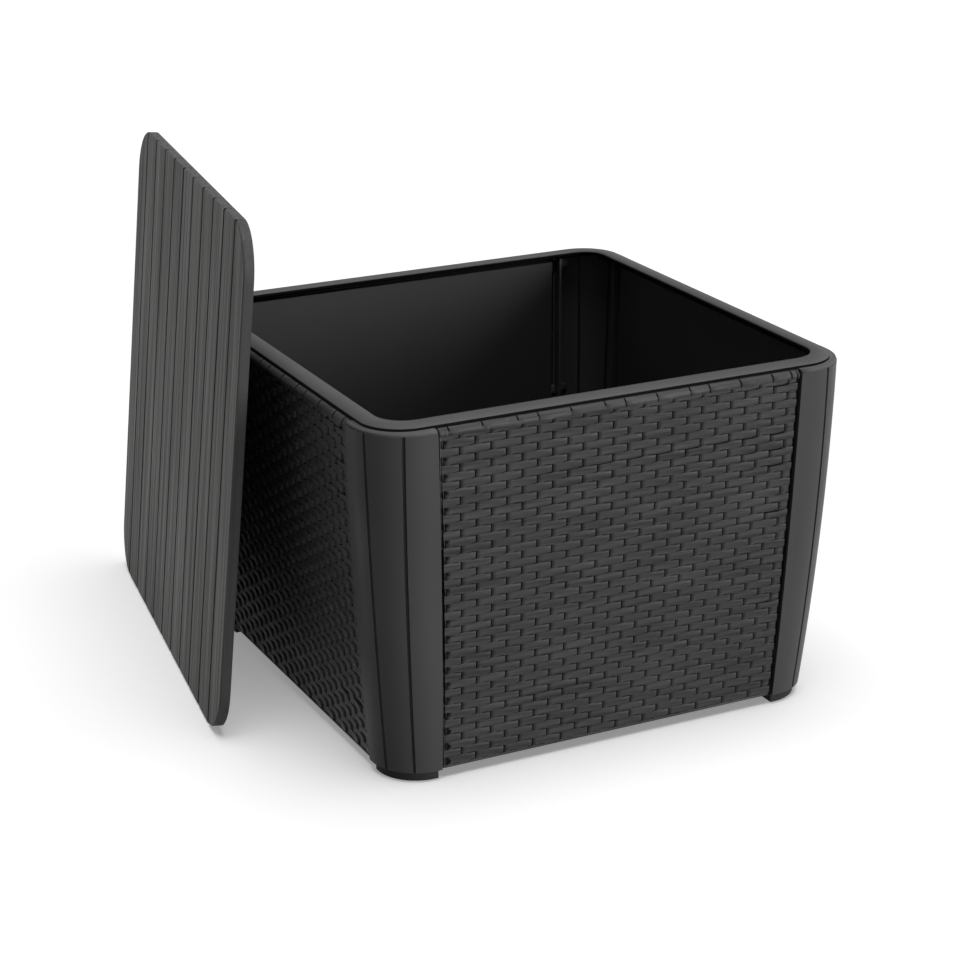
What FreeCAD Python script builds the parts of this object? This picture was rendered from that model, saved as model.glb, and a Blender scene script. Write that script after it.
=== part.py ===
import FreeCAD, Part
import math
import os
import Sketcher

# A square resin storage table: a tapered box of woven-look walls between rounded corner posts,
# with a raised rim and a loose slatted lid that stands on the floor and leans on the box.
# Millimetres and degrees, +Z up, the origin on the floor under the middle of the box,
# the front of the box towards -Y. A "half" is measured from the middle of the box.

SIZES = {
    "box_height": (413.0, "top of the rim above the floor"),
    "shoulder_half": (294.0, "outside of the posts at their top"),
    "base_half": (271.0, "outside of the posts at their foot"),
    "foot_height": (12.0, "height of the feet under posts and walls"),
    "corner_round_top": (60.0, "outer corner radius of a post at its top"),
    "corner_round_base": (54.0, "outer corner radius of a post at its foot"),
    "post_flat_top": (13.0, "flat part of a post between its corner and the wall, at its top"),
    "post_flat_base": (6.0, "flat part of a post between its corner and the wall, at its foot"),
    "post_skin": (3.5, "thickness of a post's outer skin"),
    "post_web": (3.0, "thickness of a post's two webs"),
    "post_web_depth": (22.0, "reach of the webs inwards from the outside of the post"),
    "post_floor": (3.0, "thickness of the plate that closes a post's foot"),
    "post_bow": (3.5, "swell of the posts and walls half-way up"),
    "groove_radius": (1.8, "radius of the upright grooves in a post"),
    "groove_angle_top": (66.4, "place of a groove on the corner arc at the top"),
    "groove_angle_base": (62.4, "place of a groove on the corner arc at the foot"),
    "weave_set_back": (2.5, "woven face of a wall behind the outside of the posts"),
    "wall_skin": (4.0, "thickness of a wall"),
    "wall_gap": (0.4, "gap between the side edge of a wall and a post"),
    "wall_border": (4.3, "height of the sloping border at the top of a wall"),
    "strand_count": (42.0, "number of woven strands one above another on a wall"),
    "strand_foot": (2.9, "plain edge of a wall below its lowest strand"),
    "strand_groove": (2.0, "width of the grooves between strands"),
    "strand_groove_depth": (1.6, "depth of those grooves"),
    "wall_flange": (3.5, "thickness of the flange under the rim"),
    "wall_flange_reach": (15.0, "reach of that flange inwards from the woven face"),
    "wall_rib": (4.0, "thickness of the ribs that carry a liner"),
    "wall_rib_count": (3.0, "number of those ribs"),
    "ledge_height": (24.0, "underside of the ledge that carries the floor panel"),
    "ledge_thickness": (3.0, "thickness of that ledge"),
    "ledge_reach": (14.0, "reach of that ledge inwards from the wall"),
    "tab_count": (3.0, "number of tabs on each side edge of a wall"),
    "tab_low_gap": (33.0, "lowest tab above the ledge"),
    "tab_top_gap": (12.0, "highest tab below the rim"),
    "tab_height": (11.0, "height of a tab"),
    "tab_thickness": (6.0, "thickness of a tab, with its root in the wall"),
    "tab_root": (1.0, "depth of a tab's root in the wall"),
    "tab_reach": (14.0, "reach of a tab past the web of the post"),
    "tab_clearance": (0.5, "gap round a tab in the slot of the web"),
    "liner_thickness": (2.5, "thickness of an inner sheet"),
    "liner_stand_off": (7.0, "space between an inner sheet and its wall"),
    "liner_low_gap": (18.0, "lower edge of an inner sheet above the ledge"),
    "liner_top_gap": (9.5, "upper edge of an inner sheet below the rim"),
    "liner_inset": (8.0, "side edge of an inner sheet from the seam"),
    "rim_step": (9.0, "outside of the raised band behind the outside of the posts"),
    "rim_band": (24.0, "width of the raised band"),
    "rim_thickness": (4.0, "thickness of the raised band"),
    "rim_round": (48.0, "outer corner radius of the raised band"),
    "rim_inner_round": (29.0, "inner corner radius of the raised band"),
    "rim_reveal": (1.8, "top of a wall's border outside the raised band"),
    "rim_edge": (0.8, "rounding of the raised band's upper edges"),
    "shoulder_thickness": (3.5, "thickness of the rim's shoulders over the posts"),
    "shoulder_inset": (0.6, "shoulder behind the outside of the post"),
    "shoulder_lap": (18.0, "reach of a shoulder under the raised band"),
    "shoulder_edge": (2.5, "rounding of a shoulder's outer edge"),
    "tongue_depth": (3.5, "depth of the tongues that hold the rim inside the walls"),
    "tongue_thickness": (3.0, "thickness of those tongues"),
    "tongue_gap": (0.5, "gap between a tongue and a wall's flange"),
    "tongue_inset": (12.0, "end of a tongue from the seam"),
    "floor_thickness": (3.0, "thickness of the floor panel"),
    "floor_gap": (1.5, "gap between the floor panel and walls or posts"),
    "floor_rib": (3.0, "thickness of the ribs under the floor panel"),
    "floor_rib_depth": (9.0, "depth of those ribs"),
    "floor_rib_count": (5.0, "number of those ribs each way"),
    "floor_rib_inset": (6.0, "end of those ribs from the ledges and the posts"),
    "foot_inset": (6.6, "side of a foot behind the outside of the post"),
    "foot_seam_inset": (2.0, "side of a foot from the seam"),
    "peg_radius": (6.0, "radius of the peg that holds a foot in its post"),
    "peg_length": (10.0, "length of that peg"),
    "peg_clearance": (0.3, "gap round that peg"),
    "peg_inset": (26.0, "peg from the inner sides of its foot"),
    "lid_inset": (0.3, "side of the lid behind the outside of the posts"),
    "lid_height": (12.0, "height of the lid's edge"),
    "lid_skin": (4.0, "thickness of the slatted sheet"),
    "lid_clearance": (1.7, "gap between the lid's skirt and the raised band"),
    "lid_edge": (1.5, "bevel round the slatted face"),
    "slat_count": (11.0, "number of slats on the lid"),
    "slat_trim": (2.4, "what the outer slats are narrower than the rest"),
    "slat_groove": (5.0, "width of the grooves between slats"),
    "slat_groove_depth": (2.4, "depth of those grooves"),
    "underframe_gap": (0.5, "gap between the underframe and the lid's skirt"),
    "underframe_play": (4.0, "gap between the underframe and the inside of the raised band"),
    "underframe_drop": (5.5, "reach of the underframe below the lid's edge"),
    "underframe_rib": (3.0, "thickness of the underframe's ribs"),
    "underframe_band": (45.0, "width of the underframe's flat border"),
    "underframe_rib_count": (8.0, "number of the underframe's ribs each way"),
    "lid_lean": (5.55, "lean of the lid from upright"),
    "lid_turn": (8.23, "turn of the leaning lid from the left side of the box"),
    "lid_rest_rib": (5.0, "which of the underframe's ribs leans on the post"),
    "lid_rest_gap": (0.4, "gap between the leaning lid and the post"),
}

document = FreeCAD.newDocument("storage_table")
sheet = document.addObject("Spreadsheet::Sheet", "Sizes")
for row, (name, (number, meaning)) in enumerate(SIZES.items(), start=1):
    sheet.set(f"A{row}", meaning)
    sheet.set(f"B{row}", str(number))
    sheet.setAlias(f"B{row}", name)
document.recompute()


def cell(name):
    """The expression that reads one size."""
    return f"Sizes.{name}"


def value(expression):
    """The number that an expression gives."""
    return float(sheet.evalExpression(expression.replace("Sizes.", "")))


# Levels and outlines that several pieces share

FOOT = cell("foot_height")
RIM_SEAT = f"({cell('box_height')} - {cell('rim_thickness')})"
POST_TOP = f"({RIM_SEAT} - {cell('shoulder_thickness')})"
POST_MIDDLE = f"(({FOOT} + {POST_TOP}) / 2)"
RIM_HALF = f"({cell('shoulder_half')} - {cell('rim_step')})"
RIM_INNER_HALF = f"({RIM_HALF} - {cell('rim_band')})"
SEAM_TOP = f"({cell('shoulder_half')} - {cell('corner_round_top')} - {cell('post_flat_top')})"
SEAM_BASE = f"({cell('base_half')} - {cell('corner_round_base')} - {cell('post_flat_base')})"
LEDGE_TOP = f"({cell('ledge_height')} + {cell('ledge_thickness')})"
LINER_BACK = f"({cell('wall_skin')} + {cell('liner_stand_off')})"
LINER_LOW = f"({LEDGE_TOP} + {cell('liner_low_gap')})"
LINER_HIGH = f"({RIM_SEAT} - {cell('liner_top_gap')})"
BORDER_LOW = f"({RIM_SEAT} - {cell('wall_border')})"
LID_HALF = f"({cell('shoulder_half')} - {cell('lid_inset')})"
LID_ROUND = f"({cell('rim_round')} + {cell('rim_step')})"
SKIRT_INNER_HALF = f"({RIM_HALF} + {cell('lid_clearance')})"
SKIN_UNDERSIDE = f"({cell('lid_height')} - {cell('lid_skin')})"
UNDERFRAME_HALF = f"({RIM_INNER_HALF} - {cell('underframe_play')})"
UNDERFRAME_ROUND = f"({cell('rim_inner_round')} - {cell('underframe_play')})"
UNDERFRAME_SPREAD = f"({UNDERFRAME_HALF} - {UNDERFRAME_ROUND})"


def tapered(base, top, level):
    """A size that changes evenly from the foot of the posts to their top."""
    return f"({base} + ({top} - {base}) * ({level} - {FOOT}) / ({POST_TOP} - {FOOT}))"


def swell(level):
    """How far the bowed sides stand outside a straight line from foot to top."""
    height = f"({POST_TOP} - {FOOT})"
    return f"(4 * {cell('post_bow')} * ({level} - {FOOT}) * ({POST_TOP} - {level}) / {height}^2)"


def post_half(level):
    """Outside of the posts at a level."""
    return f"({tapered(cell('base_half'), cell('shoulder_half'), level)} + {swell(level)})"


def weave_half(level):
    """Woven face of the walls at a level."""
    return f"({post_half(level)} - {cell('weave_set_back')})"


def seam_half(level):
    """Seam between wall and post at a level."""
    return tapered(SEAM_BASE, SEAM_TOP, level)


def corner_round(level):
    """Outer corner radius of the posts at a level."""
    return tapered(cell("corner_round_base"), cell("corner_round_top"), level)


def evenly(low, high, count_name):
    """Expressions for evenly spaced places from low to high."""
    count = round(value(cell(count_name)))
    last = f"max({cell(count_name)} - 1; 1)"
    return [f"({low} + ({high} - {low}) * {index} / {last})" for index in range(count)]


# Sketches and features

def plane(body, role):
    """One of a body's own base planes or axes."""
    return next(item for item in body.Origin.OriginFeatures if item.Role == role)


def new_sketch(body, name, role="XY_Plane", offset="0"):
    """A sketch on a base plane of its body, moved along the plane's normal."""
    sketch = body.newObject("Sketcher::SketchObject", f"{body.Name}_{name}")
    sketch.AttachmentSupport = [(plane(body, role), "")]
    sketch.MapMode = "FlatFace"
    sketch.setExpression("AttachmentOffset.Base.z", offset)
    return sketch


def fix(sketch, ties):
    """Ties coordinates of sketch points, each (kind, edge, point, expression), all in one go."""
    numbers = sketch.addConstraint([
        Sketcher.Constraint(kind, edge, point, value(expression)) for kind, edge, point, expression in ties
    ])
    for number, (_, _, _, expression) in zip(numbers, ties):
        sketch.setExpression(f"Constraints[{number}]", expression)


def direction(start, end):
    """The way that an edge along one axis runs, as whole numbers."""
    across = end[0] - start[0]
    along = end[1] - start[1]
    if abs(across) > abs(along):
        return int(math.copysign(1, across)), 0
    return 0, int(math.copysign(1, along))


def shifted(expression, radius, amount):
    """A coordinate moved by whole radii."""
    return f"({expression} + {radius} * ({amount}))"


def outline(sketch, corners):
    """Closes a line round corners (x, y) or (x, y, radius). Edges at a radius run along X or Y."""
    spots = [(value(corner[0]), value(corner[1])) for corner in corners]
    knots = []
    for index, corner in enumerate(corners):
        if len(corner) == 2:
            knots.append({"x": corner[0], "y": corner[1], "fixed": "XY", "centre": None})
            continue
        x, y, radius = corner
        inward = direction(spots[index - 1], spots[index])
        outward = direction(spots[index], spots[(index + 1) % len(spots)])
        knots.append({
            "x": shifted(x, radius, -inward[0]),
            "y": shifted(y, radius, -inward[1]),
            "fixed": "XY",
            "centre": (shifted(x, radius, outward[0] - inward[0]), shifted(y, radius, outward[1] - inward[1])),
            "left_turn": inward[0] * outward[1] - inward[1] * outward[0] > 0,
        })
        knots.append({
            "x": shifted(x, radius, outward[0]),
            "y": shifted(y, radius, outward[1]),
            "fixed": "X" if outward[0] else "Y",
            "centre": None,
        })
    places = [FreeCAD.Vector(value(knot["x"]), value(knot["y"]), 0) for knot in knots]
    curves = []
    for index, knot in enumerate(knots):
        start = places[index]
        end = places[(index + 1) % len(places)]
        if knot["centre"] is None:
            curves.append((Part.LineSegment(start, end), 1, 2))
        else:
            curves.append(corner_arc(knot, start, end))
    edges = sketch.addGeometry([curve for curve, _, _ in curves])
    joins = []
    ties = []
    for index, knot in enumerate(knots):
        _, first, last = curves[index]
        following = (index + 1) % len(knots)
        joins.append(Sketcher.Constraint("Coincident", edges[index], last, edges[following], curves[following][1]))
        for axis in knot["fixed"]:
            ties.append((f"Distance{axis}", edges[index], first, knot[axis.lower()]))
        if knot["centre"] is not None:
            ties.append(("DistanceX", edges[index], 3, knot["centre"][0]))
            ties.append(("DistanceY", edges[index], 3, knot["centre"][1]))
    sketch.addConstraint(joins)
    fix(sketch, ties)


def corner_arc(knot, start, end):
    """The arc at a rounded corner, with the numbers of its first and last point."""
    centre = FreeCAD.Vector(value(knot["centre"][0]), value(knot["centre"][1]), 0)
    circle = Part.Circle(centre, FreeCAD.Vector(0, 0, 1), (start - centre).Length)
    low, high = (start, end) if knot["left_turn"] else (end, start)
    low_angle = math.atan2(low.y - centre.y, low.x - centre.x)
    high_angle = math.atan2(high.y - centre.y, high.x - centre.x)
    if high_angle < low_angle:
        high_angle += 2 * math.pi
    arc = Part.ArcOfCircle(circle, low_angle, high_angle)
    return (arc, 1, 2) if knot["left_turn"] else (arc, 2, 1)


def rectangle(sketch, low_x, low_y, high_x, high_y):
    """A rectangle between two corners."""
    outline(sketch, [(low_x, low_y), (high_x, low_y), (high_x, high_y), (low_x, high_y)])


def rounded_square(sketch, half, radius):
    """A square about the middle, with rounded corners."""
    minus = f"(-{half})"
    outline(sketch, [(minus, minus, radius), (half, minus, radius), (half, half, radius), (minus, half, radius)])


def circle(sketch, x, y, radius):
    """A circle about a point."""
    centre = FreeCAD.Vector(value(x), value(y), 0)
    edge = sketch.addGeometry(Part.Circle(centre, FreeCAD.Vector(0, 0, 1), value(radius)))
    fix(sketch, [("DistanceX", edge, 3, x), ("DistanceY", edge, 3, y)])
    number = sketch.addConstraint(Sketcher.Constraint("Radius", edge, value(radius)))
    sketch.setExpression(f"Constraints[{number}]", radius)


def pad(body, sketch, length, reverse=False, both_ways=False):
    """Raises a sketch to a solid."""
    feature = body.newObject("PartDesign::Pad", f"{sketch.Name}_pad")
    feature.Profile = sketch
    feature.Reversed = reverse
    if both_ways:
        feature.SideType = "Symmetric"
    feature.setExpression("Length", length)
    document.recompute()
    return feature


def pocket(body, sketch, length, reverse=False):
    """Cuts a sketch out of the solid and checks that something was cut."""
    before = body.Shape.Volume
    feature = body.newObject("PartDesign::Pocket", f"{sketch.Name}_pocket")
    feature.Profile = sketch
    feature.Reversed = reverse
    feature.setExpression("Length", length)
    check_cut(body, before, sketch.Name)
    return feature


def check_cut(body, before, name):
    """Stops where a cut took nothing away."""
    document.recompute()
    if body.Shape.Volume >= before:
        raise RuntimeError(f"{name} cut nothing")


def loft(body, kind, sections):
    """A smooth loft through sketches, added or cut."""
    feature = body.newObject(f"PartDesign::{kind}", f"{sections[0].Name}_loft")
    feature.Profile = sections[0]
    feature.Sections = sections[1:]
    feature.Ruled = False
    return feature


def around(body, feature, name):
    """Repeats a feature on all four sides of the box."""
    pattern = body.newObject("PartDesign::PolarPattern", f"{body.Name}_{name}")
    pattern.Originals = [feature]
    pattern.Axis = (plane(body, "Z_Axis"), [""])
    pattern.Angle = 360
    pattern.Occurrences = 4
    body.Tip = pattern
    document.recompute()
    return pattern


def edges_where(shape, test):
    """Names of the edges whose middle passes a test."""
    return [
        f"Edge{number}"
        for number, edge in enumerate(shape.Edges, start=1)
        if test(edge.valueAt((edge.FirstParameter + edge.LastParameter) / 2), edge)
    ]


def dress(body, kind, size_property, size, test):
    """Rounds or bevels the edges that pass a test."""
    base = body.Tip
    feature = body.newObject(f"PartDesign::{kind}", f"{body.Name}_{kind.lower()}")
    feature.Base = (base, edges_where(base.Shape, test))
    feature.setExpression(size_property, size)
    document.recompute()
    return feature


def new_body(name):
    """An empty sub-part under its own label."""
    body = document.addObject("PartDesign::Body", name)
    body.Label = name
    return body


def turned(angle):
    """A turn about the upright middle line of the box."""
    return FreeCAD.Placement(FreeCAD.Vector(), FreeCAD.Rotation(FreeCAD.Vector(0, 0, 1), angle))


# Walls, drawn as the rear wall

def trim_sides(body, name, inset):
    """Cuts both side edges along the seams, which lean inwards towards the floor."""
    low = "0"
    high = cell("box_height")
    far = f"({cell('shoulder_half')} + {cell('base_half')})"
    sketch = new_sketch(body, name, "XZ_Plane")
    for side in ("", "-"):
        outline(sketch, [
            (f"{side}({seam_half(low)} - {inset})", low),
            (f"{side}({seam_half(high)} - {inset})", high),
            (f"{side}{far}", high),
            (f"{side}{far}", low),
        ])
    pocket(body, sketch, far)


def strand_grooves():
    """Corners of the grooves between strands on a wall's face, from the lowest up."""
    pitch = f"(({BORDER_LOW} - {FOOT} - {cell('strand_foot')}) / {cell('strand_count')})"
    reach = f"({cell('strand_groove')} / 2)"
    corners = []
    for number in range(round(value(cell("strand_count")))):
        level = f"({FOOT} + {cell('strand_foot')} + {number} * {pitch})"
        low = f"({level} - {reach})"
        high = f"({level} + {reach})"
        corners += [
            (weave_half(low), low),
            (f"({weave_half(level)} - {cell('strand_groove_depth')})", level),
            (weave_half(high), high),
        ]
    return corners


def rib_sides():
    """Lower and upper sides of the ribs that carry a liner."""
    highest = f"({LINER_HIGH} - {cell('wall_rib')})"
    lows = evenly(LINER_LOW, highest, "wall_rib_count")
    return [(low, f"({low} + {cell('wall_rib')})") for low in lows]


def wall_section():
    """Upright section through a wall: strands, border, flange, liner ribs and floor ledge."""
    flange_end = f"({weave_half(RIM_SEAT)} - {cell('wall_flange_reach')})"
    flange_low = f"({RIM_SEAT} - {cell('wall_flange')})"
    corners = [
        (weave_half(FOOT), FOOT),
        *strand_grooves(),
        (weave_half(BORDER_LOW), BORDER_LOW),
        (f"({RIM_HALF} + {cell('rim_reveal')})", RIM_SEAT),
        (flange_end, RIM_SEAT),
        (flange_end, flange_low),
        (inside(flange_low), flange_low),
    ]
    for rib_low, rib_high in reversed(rib_sides()):
        corners += [
            (inside(rib_high), rib_high),
            (f"({weave_half(rib_high)} - {LINER_BACK})", rib_high),
            (f"({weave_half(rib_low)} - {LINER_BACK})", rib_low),
            (inside(rib_low), rib_low),
        ]
    ledge_end = f"({inside(LEDGE_TOP)} - {cell('ledge_reach')})"
    corners += [
        (inside(LEDGE_TOP), LEDGE_TOP),
        (ledge_end, LEDGE_TOP),
        (ledge_end, cell("ledge_height")),
        (inside(cell("ledge_height")), cell("ledge_height")),
        (inside(FOOT), FOOT),
    ]
    return corners


def inside(level):
    """Inner face of a wall's skin at a level."""
    return f"({weave_half(level)} - {cell('wall_skin')})"


def tab_levels():
    """Undersides of the tabs."""
    lowest = f"({LEDGE_TOP} + {cell('tab_low_gap')})"
    highest = f"({RIM_SEAT} - {cell('tab_top_gap')} - {cell('tab_height')})"
    return evenly(lowest, highest, "tab_count")


def tab_outside(level):
    """Outer side of the tab at a level, sunk into the wall over its whole height."""
    top = f"({level} + {cell('tab_height')})"
    return f"(max({inside(level)}; {inside(top)}) + {cell('tab_root')})"


def make_wall(name, angle):
    """A moulded wall with the tabs that snap into the posts beside it."""
    body = new_body(name)
    section = new_sketch(body, "section", "YZ_Plane")
    outline(section, wall_section())
    pad(body, section, f"(2 * {cell('shoulder_half')})", both_ways=True)
    trim_sides(body, "seams", cell("wall_gap"))
    for number, level in enumerate(tab_levels(), start=1):
        tabs = new_sketch(body, f"tabs_{number}", "XZ_Plane", f"-{tab_outside(level)}")
        top = f"({level} + {cell('tab_height')})"
        end = f"({seam_half(level)} + {cell('post_web')} + {cell('tab_reach')})"
        start = f"({seam_half(level)} - {cell('tab_reach')})"
        rectangle(tabs, start, level, end, top)
        rectangle(tabs, f"-{end}", level, f"-{start}", top)
        pad(body, tabs, cell("tab_thickness"))
    body.Placement = turned(angle)
    return body


def make_liner(name, angle):
    """A bent inner sheet that rests on the ribs of its wall."""
    body = new_body(name)
    section = new_sketch(body, "section", "YZ_Plane")
    front = f"({LINER_BACK} + {cell('liner_thickness')})"
    levels = [level for sides in rib_sides() for level in sides]
    outside = [(f"({weave_half(level)} - {LINER_BACK})", level) for level in levels]
    inner = [(f"({weave_half(level)} - {front})", level) for level in reversed(levels)]
    outline(section, outside + inner)
    pad(body, section, f"(2 * {cell('shoulder_half')})", both_ways=True)
    trim_sides(body, "seams", cell("liner_inset"))
    body.Placement = turned(angle)
    return body


# Corner posts and feet, drawn at the rear right corner

def post_section(body, name, level):
    """Section of a post: a rounded skin with a web along each wall."""
    sketch = new_sketch(body, name, offset=level)
    half = post_half(level)
    seam = seam_half(level)
    radius = corner_round(level)
    skin = f"({half} - {cell('post_skin')})"
    web = f"({seam} + {cell('post_web')})"
    web_end = f"({half} - {cell('post_web_depth')})"
    outline(sketch, [
        (half, seam),
        (half, half, radius),
        (seam, half),
        (seam, web_end),
        (web, web_end),
        (web, skin),
        (skin, skin, f"({radius} - {cell('post_skin')})"),
        (skin, web),
        (web_end, web),
        (web_end, seam),
    ])
    return sketch


def groove_ring(body, name, level, mirrored):
    """Section of an upright groove at a level."""
    sketch = new_sketch(body, name, offset=level)
    spots = []
    for function in ("cos", "sin"):
        ends = []
        for end in ("base", "top"):
            half = cell("base_half") if end == "base" else cell("shoulder_half")
            radius = cell(f"corner_round_{end}")
            angle = cell(f"groove_angle_{end}")
            ends.append(f"({half} - {radius} + {radius} * {function}({angle}))")
        spots.append(f"({tapered(ends[0], ends[1], level)} + {swell(level)})")
    x, y = reversed(spots) if mirrored else spots
    circle(sketch, x, y, cell("groove_radius"))
    return sketch


def cut_tab_slots(body):
    """Cuts the slots in both webs that the tabs of the walls pass through."""
    play = cell("tab_clearance")
    length = f"(abs({SEAM_TOP} - {SEAM_BASE}) + 4 * {cell('post_web')})"
    beyond = f"(max({SEAM_TOP}; {SEAM_BASE}) + 2 * {cell('post_web')})"
    before = f"-({beyond} - {length})"
    side_slots = new_sketch(body, "side_slots", "YZ_Plane", beyond)
    rear_slots = new_sketch(body, "rear_slots", "XZ_Plane", before)
    for level in tab_levels():
        low = f"({tab_outside(level)} - {cell('tab_thickness')} - {play})"
        high = f"({tab_outside(level)} + {play})"
        bottom = f"({level} - {play})"
        top = f"({level} + {cell('tab_height')} + {play})"
        rectangle(side_slots, low, bottom, high, top)
        rectangle(rear_slots, low, bottom, high, top)
    pocket(body, side_slots, length)
    pocket(body, rear_slots, length)


def peg_spot():
    """Place of a foot's peg along both sides of the corner."""
    return f"({seam_half(FOOT)} + {cell('foot_seam_inset')} + {cell('peg_inset')})"


def make_post(name, angle):
    """A hollow rounded post with two upright grooves and slots for the tabs of the walls."""
    body = new_body(name)
    levels = {"lower": FOOT, "middle": POST_MIDDLE, "upper": POST_TOP}
    sections = [post_section(body, f"{place}_section", level) for place, level in levels.items()]
    loft(body, "AdditiveLoft", sections)
    document.recompute()
    plate = new_sketch(body, "plate", offset=FOOT)
    half = post_half(FOOT)
    seam = seam_half(FOOT)
    outline(plate, [(half, seam), (half, half, corner_round(FOOT)), (seam, half), (seam, seam)])
    pad(body, plate, cell("post_floor"))
    peg_hole = new_sketch(body, "peg_hole", offset=FOOT)
    circle(peg_hole, peg_spot(), peg_spot(), f"({cell('peg_radius')} + {cell('peg_clearance')})")
    pocket(body, peg_hole, cell("post_floor"), reverse=True)
    cut_tab_slots(body)
    for mirrored in (False, True):
        side = "side" if mirrored else "rear"
        before = body.Shape.Volume
        levels = {"low": f"({FOOT} - 1)", "middle": POST_MIDDLE, "high": f"({POST_TOP} + 1)"}
        rings = [groove_ring(body, f"{side}_groove_{place}", level, mirrored) for place, level in levels.items()]
        loft(body, "SubtractiveLoft", rings)
        check_cut(body, before, f"{side} groove")
    body.Placement = turned(angle)
    return body


def make_foot(name, angle):
    """A low foot, set back under its post and pegged into it."""
    body = new_body(name)
    pad_outline = new_sketch(body, "pad_outline")
    half = f"({post_half(FOOT)} - {cell('foot_inset')})"
    radius = f"({corner_round(FOOT)} - {cell('foot_inset')})"
    seam = f"({seam_half(FOOT)} + {cell('foot_seam_inset')})"
    outline(pad_outline, [(half, seam), (half, half, radius), (seam, half), (seam, seam)])
    pad(body, pad_outline, FOOT)
    peg = new_sketch(body, "peg", offset=FOOT)
    circle(peg, peg_spot(), peg_spot(), cell("peg_radius"))
    pad(body, peg, cell("peg_length"))
    body.Placement = turned(angle)
    return body


# Rim and floor

def make_rim(name):
    """The raised band, with a shoulder over each post and a tongue inside each wall."""
    body = new_body(name)
    band = new_sketch(body, "band", offset=RIM_SEAT)
    rounded_square(band, RIM_HALF, cell("rim_round"))
    rounded_square(band, RIM_INNER_HALF, cell("rim_inner_round"))
    pad(body, band, cell("rim_thickness"))
    shoulder = new_sketch(body, "shoulder", offset=RIM_SEAT)
    half = f"({cell('shoulder_half')} - {cell('shoulder_inset')})"
    radius = f"({cell('corner_round_top')} - {cell('shoulder_inset')})"
    seam = f"({seam_half(RIM_SEAT)} + {cell('wall_gap')})"
    inner = f"({RIM_HALF} - {cell('shoulder_lap')})"
    outline(shoulder, [
        (half, seam),
        (half, half, radius),
        (seam, half),
        (seam, inner),
        (inner, inner),
        (inner, seam),
    ])
    around(body, pad(body, shoulder, cell("shoulder_thickness"), reverse=True), "shoulders")
    tongue = new_sketch(body, "tongue", offset=RIM_SEAT)
    outside = f"({weave_half(RIM_SEAT)} - {cell('wall_flange_reach')} - {cell('tongue_gap')})"
    end = f"({SEAM_TOP} - {cell('tongue_inset')})"
    rectangle(tongue, f"-{end}", f"({outside} - {cell('tongue_thickness')})", end, outside)
    around(body, pad(body, tongue, cell("tongue_depth"), reverse=True), "tongues")
    seat = value(RIM_SEAT)
    top = value(cell("box_height"))
    band_half = value(RIM_HALF)
    corner_reach = value(half) - value(radius) + value(radius) / math.sqrt(2)

    def on_shoulder_edge(spot, edge):
        at_seat = abs(spot.z - seat) < 0.001
        straight = max(abs(spot.x), abs(spot.y)) > value(half) - 0.001
        curved = min(abs(spot.x), abs(spot.y)) > corner_reach - 0.001
        return at_seat and (straight or curved) and edge.Length > 2 * value(cell("shoulder_edge"))

    def on_band_edge(spot, edge):
        return abs(spot.z - top) < 0.001 and max(abs(spot.x), abs(spot.y)) < band_half + 0.001

    dress(body, "Fillet", "Radius", cell("shoulder_edge"), on_shoulder_edge)
    dress(body, "Chamfer", "Size", cell("rim_edge"), on_band_edge)
    return body


def make_floor(name):
    """The floor panel, cut back at the posts and ribbed below, on the ledges of the walls."""
    body = new_body(name)
    gap = cell("floor_gap")
    reach = f"({inside(LEDGE_TOP)} - {gap})"
    notch = f"({seam_half(LEDGE_TOP)} - {gap})"
    corner = f"({post_half(LEDGE_TOP)} - {cell('post_web_depth')} - {gap})"
    sheet_outline = new_sketch(body, "sheet", offset=LEDGE_TOP)
    quarter = [(reach, notch), (corner, notch), (corner, corner), (notch, corner), (notch, reach)]
    outline(sheet_outline, [spot for turns in range(4) for spot in quarter_turned(quarter, turns)])
    pad(body, sheet_outline, cell("floor_thickness"))
    rib_half = f"({inside(cell('ledge_height'))} - {cell('ledge_reach')} - {cell('floor_rib_inset')})"
    rib_spread = f"({notch} - {cell('floor_rib_inset')})"
    add_ribs(body, rib_spread, rib_half, LEDGE_TOP, "floor_rib", cell("floor_rib_depth"))
    return body


def quarter_turned(spots, turns):
    """Spots turned by quarter turns about the middle."""
    for _ in range(turns):
        spots = [(f"(-{y})", x) for x, y in spots]
    return spots


def rib_spots(spread, name):
    """Middles of evenly spaced ribs, the outermost with their outer sides at spread."""
    width = cell(name)
    return evenly(f"(-{spread} + {width} / 2)", f"({spread} - {width} / 2)", f"{name}_count")


def add_ribs(body, spread, half, level, name, depth):
    """A grid of ribs that hangs down from a level, with the rib ends at half."""
    width = cell(name)
    spots = rib_spots(spread, name)
    for way in ("across", "along"):
        sketch = new_sketch(body, f"ribs_{way}", offset=level)
        for spot in spots:
            low = f"({spot} - {width} / 2)"
            high = f"({spot} + {width} / 2)"
            if way == "across":
                rectangle(sketch, f"-{half}", low, half, high)
            else:
                rectangle(sketch, low, f"-{half}", high, half)
        pad(body, sketch, depth, reverse=True)


# Lid, drawn flat with its slats up and the lower side of its edge at zero

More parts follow.
